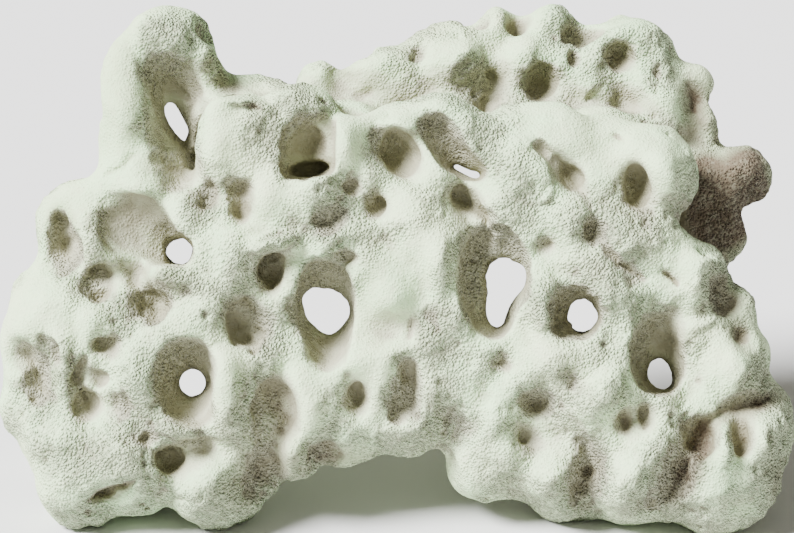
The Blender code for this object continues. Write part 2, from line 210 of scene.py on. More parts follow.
def noise_at(places, length, start=0.0):
    """Smooth noise of about -1 to 1, one number for each place, with bumps of that length."""
    scaled = places / length + start
    return np.array([noise.noise(point) for point in scaled])


def wandered(places, by, length, starts):
    """Where points lie on the sheet, shifted by slow noise, so that what is marked there has uneven edges."""
    across, down, _ = on_sheet(places)
    across = across + by * noise_at(places, length, starts[0])
    down = down + by * noise_at(places, length, starts[1])
    return across, down


def lift_skin(thing, lift):
    """Moves each point of the skin toward the viewer by so many millimetres."""
    move_to(thing, places_of(thing) + (lift * MM)[:, None] * np.array(TOWARD))


# Broad lumps (raised, in millimetres) and hollows (negative) of the seen skin, and slow swells all over.
RELIEF_GAIN = 1.45
RELIEF_WANDER = 3.0
RELIEF_WANDER_LENGTH = 14 * MM
RELIEF_ROUNDS = 3
SWELL = 1.6
SWELL_LENGTH = 24 * MM
RELIEF = [
    ((31, 116), (13, 20), -10, -4), ((20, 186), (13, 24), -8, -4), ((36, 99), (14, 10), 0, 1.5),
    ((18, 148), (12, 14), 0, 2), ((36, 166), (8, 18), 12, -3.5), ((66, 182), (11, 24), 8, 4.5),
    ((62, 148), (6, 16), 0, 2.5), ((28, 218), (16, 16), 0, 2), ((60, 228), (22, 12), -10, 1.5),
    ((121, 162), (13, 20), 10, -4.5), ((141, 160), (8, 20), 0, 3), ((135, 203), (20, 25), -10, -6),
    ((146, 227), (9, 12), 0, 5), ((130, 236), (22, 14), -40, -6), ((103, 240), (14, 14), 0, 2.5),
    ((90, 217), (16, 7), 0, 3), ((112, 196), (8, 22), 0, 2.5), ((178, 200), (10, 16), 0, -3.5),
    ((203, 195), (12, 26), 10, -4.5), ((190, 188), (7, 24), 10, 2.5), ((195, 150), (14, 26), 5, 1.5),
    ((218, 168), (14, 18), 0, 1.5), ((164, 111), (22, 10), -42, -4), ((137, 122), (17, 7), -15, 4.5),
    ((134, 103), (14, 12), -20, 2.5), ((103, 103), (13, 15), 0, -4.5), ((112, 68), (14, 18), 0, 2.5),
    ((177, 70), (11, 22), 8, 3.5), ((155, 53), (18, 8), 0, 3.5), ((155, 97), (17, 8), -8, 3),
    ((175, 92), (8, 7), 0, -3), ((191, 76), (8, 17), -25, -3), ((200, 59), (15, 6), 10, 3.5),
    ((210, 104), (17, 15), 0, 2.5), ((243, 51), (13, 12), -30, -4), ((228, 33), (20, 12), -10, 3),
    ((262, 21), (11, 10), 0, 3.5), ((247, 14), (9, 13), 0, 2), ((273, 10), (12, 10), 0, 3),
    ((330, 40), (16, 26), -15, 2), ((300, 46), (18, 10), 0, 2), ((347, 50), (9, 20), -10, -6),
    ((290, 72), (32, 12), 8, 3), ((333, 92), (11, 28), 0, 3.5), ((305, 92), (9, 20), 0, 2),
    ((257, 82), (17, 20), 0, 2.5), ((281, 106), (20, 12), 0, 3.5), ((271, 152), (9, 26), 0, 3),
    ((320, 122), (22, 12), 12, 2), ((332, 150), (28, 14), 14, 4), ((346, 181), (20, 26), 0, -5),
    ((368, 186), (9, 24), 12, 4), ((304, 190), (12, 20), -20, 2.5), ((308, 246), (12, 20), 10, 4),
    ((291, 240), (10, 28), 18, -5), ((272, 236), (11, 22), 12, 3.5), ((340, 233), (13, 34), 30, -6),
    ((321, 232), (10, 28), 28, 4), ((252, 226), (22, 20), 0, 2.5), ((378, 226), (15, 26), 10, 3),
    ((363, 148), (11, 24), -25, -5.5), ((349, 142), (9, 22), -28, 3), ((362, 108), (20, 24), 0, -7),
    ((373, 82), (11, 11), 0, 2.5), ((232, 150), (7, 30), 0, 2), ((296, 130), (16, 9), 0, 2),
    ((62, 112), (20, 20), 0, -2), ((85, 20), (18, 14), 0, 2), ((102, 30), (6, 9), 20, 4),
    ((94, 36), (4, 8), 10, -2.5), ((62, 60), (10, 28), 0, 2), ((244, 196), (16, 12), 0, -2.5),
    ((318, 168), (8, 22), -30, 3), ((98, 128), (10, 12), 0, 2.5), ((92, 140), (18, 8), 15, 3),
    ((48, 204), (14, 18), 0, -2), ((222, 120), (10, 20), 0, 2.5), ((196, 118), (16, 10), -15, -2.5),
    ((150, 192), (9, 20), 0, 2.5), ((170, 182), (16, 9), 0, 2.5), ((350, 214), (13, 14), -15, -5),
    ((368, 210), (16, 12), -12, -4), ((386, 203), (14, 11), -15, -3.5), ((82, 74), (14, 10), 25, -2),
    ((212, 196), (9, 22), 0, 2.5), ((276, 176), (20, 9), 0, 2), ((270, 205), (14, 12), 0, -2.5),
    ((356, 184), (6, 20), 10, 2), ((112, 118), (12, 10), 0, 2), ((112, 42), (14, 6), 0, -3.5),
    ((110, 26), (8, 12), 0, 3), ((118, 52), (20, 5), 0, 3), ((250, 200), (10, 24), 25, 2.5),
    ((236, 212), (9, 24), 20, -2.5), ((300, 182), (9, 22), 30, -2.5), ((160, 122), (10, 12), 20, 2.5),
    ((184, 112), (14, 8), -30, 2.5), ((214, 142), (8, 18), 15, -2), ((292, 208), (9, 20), 25, 2.5),
    ((96, 178), (30, 6), 10, 2), ((60, 204), (8, 18), 20, -2.5),
]
body_places = places_of(rock)
across, down = wandered(body_places, RELIEF_WANDER, RELIEF_WANDER_LENGTH, (3.0, 6.0))
marked = on_marks(across, down, RELIEF) * RELIEF_GAIN * seen_from_eye(rock)
lift_skin(rock, marked + SWELL * noise_at(body_places, SWELL_LENGTH, 4.0))
soften(rock, RELIEF_ROUNDS)

# Its holes right through. The rim is where the hollow meets the skin and the throat is the narrowest part,
# which light comes through. Both are outlines on the sheet. Each throat lies so deep behind the rim, and a
# steeper hollow keeps its width for longer.
SPOKES = 48
RING_ROUNDS = 2
HOLES = {
    "tower_eye": dict(
        rim=[
            (73, 44), (76, 33), (84, 27.5), (93, 30), (99, 37), (103.3, 46.5), (99, 58), (97.5, 72),
            (93, 78), (84, 68), (77, 57),
        ],
        throat=[
            (82.7, 50.8), (86.1, 49.5), (90.4, 56.9), (95.2, 64.6), (95.2, 68.9), (93.4, 74.1),
            (88.7, 69.8), (84.8, 63.7), (82.7, 56.9),
        ],
        deep=14,
    ),
    "upper_left": dict(
        rim=[
            (50, 104), (54, 97.5), (66, 97), (80, 99.5), (85.5, 106), (88.5, 117), (95, 118.5),
            (98, 124), (96.5, 131), (90, 134), (82, 133), (72, 132), (57, 125), (50, 114),
        ],
        throat=[
            (81.6, 125.6), (84, 119.9), (89.6, 117.6), (95.3, 119.9), (97.6, 125.6), (95.3, 131.3),
            (89.6, 133.6), (84, 131.3),
        ],
        deep=22,
        steep=1.5,
    ),
    "lower_left": dict(
        rim=[
            (76.5, 190), (78, 178), (84, 170), (93, 168), (102, 174), (107, 184), (107.8, 194),
            (104, 204), (96, 212), (86, 211), (79, 202),
        ],
        throat=[
            (88.8, 191.4), (91, 185.5), (96.4, 183.1), (101.8, 185.5), (104, 191.4), (101.8, 197.3),
            (96.4, 199.7), (91, 197.3),
        ],
        deep=20,
    ),
    "middle": dict(
        rim=[
            (148, 150), (149.5, 139), (155, 131), (163, 128.5), (171, 131), (176.5, 139), (178, 150),
            (177, 163), (174, 176), (167, 185), (158, 185.5), (152.5, 176), (149, 163),
        ],
        throat=[
            (149.9, 148.9), (156.4, 143.9), (163, 142.9), (169.6, 144.3), (175.8, 150.5), (175.4, 158),
            (172.1, 163.4), (164.7, 168.6), (158, 164.6), (153, 158.8),
        ],
        deep=20,
    ),
    "large": dict(
        rim=[
            (228, 134), (230, 120), (236, 112), (246, 109.5), (257, 115), (264.5, 125), (266, 137),
            (264.5, 148), (258, 158), (254.5, 167), (249, 171), (240, 168), (231, 160), (228, 148),
        ],
        throat=[
            (241.4, 136.6), (245.9, 129.7), (253.6, 127.2), (261.3, 131.2), (264.2, 137.3),
            (263.5, 143.4), (258.2, 149.6), (254.4, 155.7), (252.8, 161.8), (249, 166), (245.2, 162.6),
            (241.7, 155.7), (243.3, 148), (241.7, 142.7),
        ],
        deep=20,
    ),
    "right": dict(
        rim=[
            (275, 157), (277.5, 148), (284, 143), (293, 144.5), (300, 150), (301.5, 158), (299, 167),
            (291, 170.5), (281, 168), (276, 163),
        ],
        throat=[
            (282.5, 157.6), (285, 151), (290.9, 148.3), (296.8, 151), (299.3, 157.6), (296.8, 164.2),
            (290.9, 167), (285, 164.2),
        ],
        deep=17,
    ),
    "lower_right": dict(
        rim=[
            (313.5, 174), (316, 166), (321, 161.5), (328.2, 158.7), (335.7, 162.1), (339.5, 173),
            (343, 181), (341.9, 189), (337, 197), (328, 199), (319.5, 194), (315, 184),
        ],
        throat=[
            (322.4, 187.4), (324.8, 180.5), (329.3, 177.9), (333.7, 180.5), (336.8, 187.4),
            (336.8, 192.1), (333.4, 195.9), (328.2, 195.2), (323.5, 191.5),
        ],
        deep=24,
    ),
    "top_slit": dict(
        rim=[
            (209, 61), (214, 57), (221, 58), (226, 67), (236, 75.5), (245, 86), (240.5, 91), (232, 90),
            (222, 85), (213, 74),
        ],
        throat=[
            (224, 81.3), (229.3, 81.7), (234.7, 84.8), (243.6, 87.5), (240, 90), (234.7, 89.3),
            (229.3, 86.2), (224.8, 84.4),
        ],
        deep=18,
    ),
}
HOLE_STARTS = -34.0
HOLE_ENDS = 150.0
FUNNEL_STEPS = 7
LEVEL_SPREAD = 16
LEVEL_ROUNDS = 3
PARALLEL = 1e-9


def middle_of(outline):
    across = sum(point[0] for point in outline) / len(outline)
    down = sum(point[1] for point in outline) / len(outline)
    return across, down


def smoothed_ring(values):
    """Rounds off the corners of a closed outline."""
    for _ in range(RING_ROUNDS):
        next_values = values[1:] + values[:1]
        triples = zip(values[-1:] + values[:-1], values, next_values)
        values = [(before + 2 * value + after) / 4 for before, value, after in triples]
    return values


def spokes_to(outline, middle):
    """How far the outline lies from its middle, along evenly turned spokes."""
    reaches = []
    corners = list(zip(outline, outline[1:] + outline[:1]))
    for spoke in range(SPOKES):
        turn = 2 * math.pi * spoke / SPOKES
        east, south = math.cos(turn), math.sin(turn)
        best = 0.0
        for (x1, y1), (x2, y2) in corners:
            cross = east * (y2 - y1) - south * (x2 - x1)
            if abs(cross) < PARALLEL:
                continue
            reach = ((x1 - middle[0]) * (y2 - y1) - (y1 - middle[1]) * (x2 - x1)) / cross
            along = ((x1 - middle[0]) * south - (y1 - middle[1]) * east) / cross
            if reach > 0 and 0 <= along <= 1:
                best = max(best, reach)
        reaches.append(best)
    return smoothed_ring(reaches)


def around(middle, reaches):
    points = []
    for spoke, reach in enumerate(reaches):
        turn = 2 * math.pi * spoke / SPOKES
        points.append((middle[0] + reach * math.cos(turn), middle[1] + reach * math.sin(turn)))
    return points


def skin_depths(skin, outline):
    """How deep behind the sheet the skin lies at each point of an outline, evened out."""
    depths = []
    for across, down in outline:
        at = skin.ray_cast(EYE, (place(across, down) - EYE).normalized())[0]
        depths.append((EYE - at).dot(TOWARD) / MM - EYE_DISTANCE if at else None)
    found = sorted(depth for depth in depths if depth is not None)
    usual = found[len(found) // 2]
    depths = [usual if depth is None or abs(depth - usual) > LEVEL_SPREAD else depth for depth in depths]
    for _ in range(LEVEL_ROUNDS):
        depths = smoothed_ring(depths)
    return depths


def loft(bm, rings):
    """A closed body through rings of points: (across, down, deep) for each spoke."""
    loops = []
    for ring in rings:
        verts = [bm.verts.new(place(*point)) for point in ring]
        loops.append([bm.edges.new((a, b)) for a, b in zip(verts, verts[1:] + verts[:1])])
    for near, far in zip(loops, loops[1:]):
        bmesh.ops.bridge_loops(bm, edges=near + far)
    for end in (loops[0], loops[-1]):
        bmesh.ops.edgeloop_fill(bm, edges=end)


def funnel(bm, skin, rim, throat, deep, through=True, steep=1.8):
    """A hollow from its rim on the skin in to its throat, and on through the stone, or closed there."""
    middle = middle_of(throat)
    rim_ring = around(middle, spokes_to(rim, middle))
    throat_ring = around(middle, spokes_to(throat, middle))
    depths = skin_depths(skin, rim_ring)
    level = sum(depths) / SPOKES + deep
    rings = [[(*point, depth + HOLE_STARTS) for point, depth in zip(rim_ring, depths)]]
    for step in range(FUNNEL_STEPS + 1):
        share = step / FUNNEL_STEPS
        inward = share**steep
        ring = []
        for outer, inner, depth in zip(rim_ring, throat_ring, depths):
            across = outer[0] + (inner[0] - outer[0]) * inward
            down = outer[1] + (inner[1] - outer[1]) * inward
            ring.append((across, down, depth + (level - depth) * share))
        rings.append(ring)
    if through:
        rings.append([(*point, level + HOLE_ENDS) for point in throat_ring])
    loft(bm, rings)


# Stone first fills what the solid's coarse facets left open round each throat, so that the outlines can be
# cut true. It also fills gaps that the real rock doesn't have: middle, how deep, and radius.
PLUG_THICK = 13.0
PLUG_MARGIN = 5
PLUG_LEVEL_MARGIN = 6
FILLS = [((70.5, 137), -22, 9), ((74, 140), -25, 9)]
# Some of the solid's pits are too deep for what the real ones show. Stone comes up in them to just below
# their rims: middle, half width, and how far below.
FILL_THICK = 14.0
SHALLOWER = [
    ((64, 111), 24, 4), ((50, 142), 11, 7), ((121, 162), 11, 4.5), ((136, 204), 18, 10),
    ((130, 236), 10, 1.5), ((202, 196), 9, 2.5), ((165, 106), 8, 2), ((291, 243), 9, 2.5),
    ((341, 238), 9, 3), ((238, 37), 11, 2.5), ((300, 47), 8, 1), ((346, 214), 9, 4), ((361, 148), 8, 2.5),
]
FACE_ON = TOWARD.to_track_quat("Z", "Y").to_matrix().to_4x4()


def add_pebble(bm, middle, deep, wide, thick):
    """A flattened ball of stone at that place, lying flat to the viewer."""
    at = Matrix.Translation(place(*middle, deep))
    sizes = Matrix.Diagonal((wide * MM, wide * MM, thick * MM / 2, 1))
    bmesh.ops.create_icosphere(bm, subdivisions=4, radius=1, matrix=at @ FACE_ON @ sizes)


def level_around(skin, middle, reaches):
    """How deep the skin lies on average, on a ring round that place."""
    return sum(skin_depths(skin, around(middle, reaches))) / SPOKES


plugs = bmesh.new()
plugs.from_mesh(rock.data)
skin = skin_of(rock)
for middle, deep, radius in FILLS:
    at = Matrix.Translation(place(*middle, deep))
    bmesh.ops.create_icosphere(plugs, subdivisions=4, radius=radius * MM, matrix=at)
for middle, wide, below in SHALLOWER:
    level = level_around(skin, middle, [wide] * SPOKES)
    add_pebble(plugs, middle, level + below + FILL_THICK / 2, wide, FILL_THICK)
for hole in HOLES.values():
    middle = middle_of(hole["throat"])
    reaches = spokes_to(hole["throat"], middle)
    level = level_around(skin, middle, [reach + PLUG_LEVEL_MARGIN for reach in reaches])
    add_pebble(plugs, middle, level + hole["deep"], max(reaches) + PLUG_MARGIN, PLUG_THICK)
plugs.to_mesh(rock.data)
plugs.free()
refine(rock, BODY_GRAIN)

# Its closed pits: middle, half sizes (wide, high), roll clockwise, depth, and how far the floor lies from
# under the rim, across and down, which leaves an overhang on that side.
PITS = [
    ((49.5, 142), (8, 10), 0, 8, (-1, -4)),
    ((76, 153), (9, 9.5), 0, 13, (-2, -4)),
    ((53, 172.5), (8.5, 5), 12, 8, (-2, -2)),
    ((23, 177), (8.5, 11), -15, 7, (2, -2)),
    ((20, 195), (5, 8), 8, 4, (0, -2)),
    ((31, 115), (5.5, 11), -8, 4.5, (1, -2)),
    ((49, 188), (5, 5), 0, 8, (-1, -2)),
    ((43, 202.5), (6.5, 7.5), 0, 10, (-1, -4)),
    ((39, 187), (4, 11), 18, 7, (-1, -2)),
    ((84.5, 230), (7.5, 7), 0, 11, (-1, -3)),
    ((73, 221), (3.2, 4), 0, 7, (0, -1)),
    ((101.5, 222), (3, 4.2), 0, 7, (0, -1)),
    ((103, 157.5), (3.2, 3), 0, 5, (0, -1)),
    ((119.5, 94.5), (7.6, 8), -10, 10, (1, -1)),
    ((119.5, 105), (4.6, 7), 0, 5.5, (1, -1)),
    ((101, 103), (3.2, 3.2), 0, 5, (0, -1)),
    ((107, 94), (3.4, 4.6), -20, 5, (0, -1)),
    ((127, 53), (3, 1.7), 35, 5, (0, -1)),
    ((135.5, 134), (6.2, 9.5), 20, 14, (1, -3)),
    ((122.5, 151.5), (3.2, 4.6), 10, 4, (0, -1)),
    ((128.5, 167.5), (4, 6), 20, 7, (0, -2)),
    ((126.5, 175), (2.6, 3.4), 20, 4, (1, -1)),
    ((119, 163), (6.5, 11), 15, 3.5, (0, -2)),
    ((175, 93), (5.5, 5), 0, 6, (0, -2)),
    ((201, 76.5), (8.3, 14), -33, 12, (-2, -2)),
    ((193, 58), (2.8, 2.6), 0, 7, (0, -1)),
    ((188.5, 102.5), (6.2, 5.2), -15, 11, (2, -2)),
    ((231, 99.5), (6.2, 8), -35, 11, (-1, -3)),
    ((242, 108), (4.5, 7), -45, 7, (0, -1)),
    ((172.5, 129.5), (6.6, 4.4), 15, 8, (1, -1)),
    ((178, 196.5), (5.5, 8), 0, 8, (-1, -3)),
    ((174, 188), (3, 3.4), 0, 3, (0, -1)),
    ((203, 186), (5, 8), 10, 4, (-1, -2)),
    ((200, 204), (4.5, 10), 20, 4, (-1, -2)),
    ((204.5, 163), (1.8, 5), 0, 4, (0, 0)),
    ((139.5, 216.5), (3, 3), 0, 6, (0, -1)),
    ((163, 226.5), (11, 6.5), 12, 11, (0, -2)),
    ((318, 92.5), (6.3, 12.5), -4, 17, (-4, -1)),
    ((310.5, 28), (8, 8), 0, 13, (-2, -2)),
    ((269.5, 41), (9, 9.6), 0, 13, (-2, -2)),
    ((257, 12), (5.2, 7.2), 0, 12, (-2, -1)),
    ((285, 18), (5.2, 3.2), -10, 7, (0, -1)),
    ((286, 29), (4, 4), 0, 6, (0, -1)),
    ((293.5, 50.5), (2.6, 2.6), 0, 6, (0, -1)),
    ((243, 51.5), (6.5, 6.2), -30, 8, (-1, -2)),
    ((247, 39), (5, 6), -30, 7, (-1, -2)),
    ((209, 27), (3.6, 4), 0, 6, (0, -1)),
    ((271, 75), (5, 8), -45, 10, (-1, -2)),
    ((286, 88), (5.5, 8), -35, 10, (-1, -2)),
    ((273.2, 121.5), (4, 3.4), 0, 7, (0, -1)),
    ((296, 116), (6, 5.6), 0, 9, (0, -1)),
    ((302.5, 119), (1.6, 1.4), 0, 5, (0, 0)),
    ((268, 201), (7.6, 6), 8, 12, (-2, -2)),
    ((262.5, 217.5), (4.4, 4.4), 0, 8, (-1, -1)),
    ((287.5, 193), (3.2, 6.8), 12, 7, (-1, -2)),
    ((251, 183), (5.2, 4.6), 0, 7, (-1, -2)),
    ((291, 221), (3, 4), 0, 6, (0, -1)),
    ((312, 211.5), (3.2, 7.4), 8, 11, (0, -2)),
    ((322, 208.5), (3.6, 8.2), 10, 8, (0, -2)),
    ((351.5, 219.5), (6, 11), 0, 15, (-1, -3)),
    ((371, 219), (4, 10.5), 0, 12, (1, -2)),
    ((361.5, 147), (4.5, 11), -28, 3, (-1, -3)),
    ((370.5, 168.5), (5, 7.2), -25, 5, (-1, -2)),
    ((352.5, 126), (4.2, 2.6), 20, 7, (0, -1)),
    ((325, 252.5), (4.6, 5), 0, 8, (0, -1)),
    ((385, 220), (2, 6.5), 0, 5, (0, 0)),
]
# A pit is cut no deeper than this share of its mean half width, and its floor is this share of its rim.
PIT_DEEPEST = 1.0
PIT_FLOOR = 0.45
PIT_STEEP = 1.9

# Each pit lies in a shallow dish, a little to its lower right, where the real ones run out to the skin.
DISH_REACH = 2.1
DISH_SHARE = 0.13
DISH_SHIFT = 0.2
DISH_ROUNDS = 2

# The box-shaped hollow has upright sides and a deep slot along its floor: middle, half sizes and roll.
BOX_PIT = dict(
    rim=[
        (140, 66), (146, 61), (147, 56), (152, 57), (153.5, 63), (158, 64.5), (160, 56),
        (168, 54), (168, 68), (168, 87.5), (160, 88.5), (151, 90), (140, 92), (140, 80),
    ],
    throat=[
        (139, 66), (148, 58), (157, 56), (168, 56), (168, 72), (167, 87), (154, 89), (140, 91),
        (139, 78),
    ],
    deep=10,
)
BOX_SLOT = ((154.5, 85), (12.5, 5), -8)
BOX_SLOT_DEEP = 25
BOX_SLOT_FLOOR = 0.75

# Worn rims aren't true ovals, so the pits are bent out of shape, and the holes, which are truer, much less:
# length of the bends, how far they reach, and where their noise starts.
PIT_BENDS = ((13 * MM, 2.6 * MM, 3.1), (5 * MM, 1.3 * MM, 9.4))
HOLE_BENDS = ((9 * MM, 0.4 * MM, 3.1), (4 * MM, 0.25 * MM, 9.4))
CUTTER_GRAIN = 1.2 * MM
SKIN_GRAIN = 1.35 * MM
SKIN_ROUNDS = 2


def oval(middle, half_sizes, roll=0.0, shift=(0.0, 0.0), share=1.0):
    """An outline of an oval, rolled clockwise, and shifted and shrunk for a hollow's floor."""
    turn = math.radians(roll)
    points = []
    for spoke in range(SPOKES):
        angle = 2 * math.pi * spoke / SPOKES
        along, over = half_sizes[0] * share * math.cos(angle), half_sizes[1] * share * math.sin(angle)
        across = middle[0] + shift[0] + along * math.cos(turn) - over * math.sin(turn)
        down = middle[1] + shift[1] + along * math.sin(turn) + over * math.cos(turn)
        points.append((across, down))
    return points


def bmesh_object(name, bm):
    bmesh.ops.recalc_face_normals(bm, faces=bm.faces)
    mesh = bpy.data.meshes.new(name)
    bm.to_mesh(mesh)
    bm.free()
    return add_mesh_object(name, mesh)


def bent(places, length, by, start):
    """Places moved sideways by slow noise, each way by up to about that much."""
    shifts = [noise_at(places, length, start + 7.3 * axis) for axis in range(3)]
    return places + np.stack(shifts, axis=1) * by


def cut_out(thing, cutter):
    """Takes the cutter out of the object."""
    hole = thing.modifiers.new("Hollows", "BOOLEAN")
    hole.operation = "DIFFERENCE"
    hole.object = cutter
    settle(thing)
    bpy.data.objects.remove(cutter)


dishes = []
for (x, y), (wide, high), roll, deep, _ in PITS:
    middle = (x + DISH_SHIFT * wide, y + DISH_SHIFT * high)
    dishes.append((middle, (DISH_REACH * wide, DISH_REACH * high), roll, -DISH_SHARE * deep))
across, down, _ = on_sheet(places_of(rock))
lift_skin(rock, on_marks(across, down, dishes) * seen_from_eye(rock))
soften(rock, DISH_ROUNDS)

skin = skin_of(rock)
pits = bmesh.new()
for middle, half_sizes, roll, deep, lean in PITS:
    rim = oval(middle, half_sizes, roll)
    floor = oval(middle, half_sizes, roll, lean, PIT_FLOOR)
    most = PIT_DEEPEST * math.sqrt(half_sizes[0] * half_sizes[1])
    funnel(pits, skin, rim, floor, min(deep, most), through=False, steep=PIT_STEEP)
funnels = bmesh.new()
funnel(funnels, skin, through=False, steep=1.0, **BOX_PIT)
slot_floor = oval(*BOX_SLOT, share=BOX_SLOT_FLOOR)
funnel(funnels, skin, oval(*BOX_SLOT), slot_floor, BOX_SLOT_DEEP, through=False)
for hole in HOLES.values():
    funnel(funnels, skin, **hole)

hollows = bmesh.new()
for bm, name, bends in ((pits, "pits", PIT_BENDS), (funnels, "funnels", HOLE_BENDS)):
    cutter = refine(bmesh_object(name, bm), CUTTER_GRAIN)
    for length, by, start in bends:
        move_to(cutter, bent(places_of(cutter), length, by, start))
    hollows.from_mesh(cutter.data)
    bpy.data.objects.remove(cutter)
cut_out(rock, refine(bmesh_object("hollows", hollows), CUTTER_GRAIN))
refine(rock, SKIN_GRAIN)
soften(rock, SKIN_ROUNDS)

# Ledges, creases and cracks, as lines on the sheet: points, half width, and height, negative where sunk.
# They wander, and grow shallow and narrow towards their ends.
LINES = [
    ([(157, 50), (168, 51.5), (177, 50), (187, 45)], 4, -2.5),
    ([(99, 51), (98, 62), (97, 78)], 4, 4),
    ([(99, 50), (110, 49), (124, 49), (138, 56)], 4, 3.5),
    ([(143, 91), (155, 89.5), (167, 87)], 4, 2.5),
    ([(183, 96), (172, 106), (162, 114), (152, 129)], 7, -2),
    ([(125, 126), (136, 123), (148, 119)], 4.5, 3.5),
    ([(128, 131), (140, 126), (147, 124)], 3, -3),
    ([(225, 97), (238, 104), (250, 110)], 4, -3.5),
    ([(188, 63), (198, 62), (209, 65)], 4, 3),
    ([(70, 140), (80, 138), (92, 143)], 5, 3.5),
    ([(76, 216), (88, 214), (100, 218)], 5, 3),
    ([(42, 250), (54, 245), (68, 241)], 3.2, -7),
    ([(68, 251), (76, 254)], 3, -5),
    ([(84, 250.5), (90, 249.6), (96, 250)], 1.8, -1.6),
    ([(36, 176), (38, 188), (43, 200)], 4, -3.5),
    ([(300, 121), (310, 131), (322, 141)], 2.6, -4),
    ([(331, 135.5), (340, 143)], 2.4, -4),
    ([(340, 165), (349, 163), (357, 160)], 5, 1.5),
    ([(342, 159), (352, 156), (360, 153)], 5, -2),
    ([(345, 210), (362, 206), (380, 201), (395, 197)], 6, -1.5),
    ([(306, 67), (314, 72)], 2.2, -2.5),
    ([(268, 102), (273, 97), (277, 93)], 3, 2.5),
    ([(276, 77), (283, 84), (291, 96), (298, 108)], 3.5, -3),
    ([(322, 108), (325, 122)], 3, -2.5),
    ([(346, 228), (340, 240), (334, 250)], 5, -2.5),
    ([(298, 226), (291, 240), (286, 254)], 5, -2.5),
    ([(311, 243), (317, 242)], 1.6, -1.6),
    ([(203, 176), (205, 190), (208, 214)], 6, -2),
    ([(198, 183), (200, 196)], 3.5, 2.5),
    ([(329, 31), (328, 49)], 3, -2.5),
    ([(343, 40), (348, 58)], 6, -3),
    ([(28, 104), (32, 116), (35, 128)], 7, -3.5),
    ([(14, 172), (20, 186), (28, 202)], 7, -3.5),
    ([(112, 150), (118, 163), (128, 176)], 6, -3),
    ([(130, 190), (139, 204), (148, 218)], 8, -2),
    ([(118, 222), (130, 234), (146, 247)], 7, -2.5),
    ([(206, 158), (204, 170)], 2.2, -2),
    ([(213, 152), (222, 166), (230, 174)], 6, -2),
    ([(346, 206), (352, 207), (358, 206)], 4, 3),
    ([(361, 210), (362, 224), (362, 234)], 4, 3),
    ([(74, 78), (84, 82), (94, 86)], 5, -2.5),
    ([(52, 88), (62, 84), (68, 76)], 3.5, -2.5),
]
LINE_WANDER = 1.8
LINE_WANDER_LENGTH = 7 * MM
LINE_UNEVEN = 0.5
LINE_UNEVEN_LENGTH = 8 * MM
LINE_TIP = 0.4


def along_line(across, down, points):
    """How far each place lies from a line of points, and how far along it, from 0 to 1."""
    lengths = [math.dist(a, b) for a, b in zip(points, points[1:])]
    nearest = np.full(len(across), np.inf)
    share = np.zeros(len(across))
    done = 0.0
    for (x1, y1), (x2, y2), length in zip(points, points[1:], lengths):
        run, drop = x2 - x1, y2 - y1
        along = np.clip(((across - x1) * run + (down - y1) * drop) / length**2, 0, 1)
        away = np.hypot(across - x1 - along * run, down - y1 - along * drop)
        share = np.where(away < nearest, (done + along * length) / sum(lengths), share)
        nearest = np.minimum(nearest, away)
        done += length
    return nearest, share


rock_places = places_of(rock)
across, down = wandered(rock_places, LINE_WANDER, LINE_WANDER_LENGTH, (1.7, 5.2))
uneven = 1 + LINE_UNEVEN * noise_at(rock_places, LINE_UNEVEN_LENGTH, 9.9)
lift = np.zeros(len(rock_places))
for points, wide, height in LINES:
    away, share = along_line(across, down, points)
    full = np.clip(4 * share * (1 - share), 0, 1) ** 0.5
    near = away / (wide * (LINE_TIP + (1 - LINE_TIP) * full) * uneven)
    lift += height * full * np.clip(1 - near**2, 0, 1) ** 2
lift_skin(rock, lift * seen_from_eye(rock))

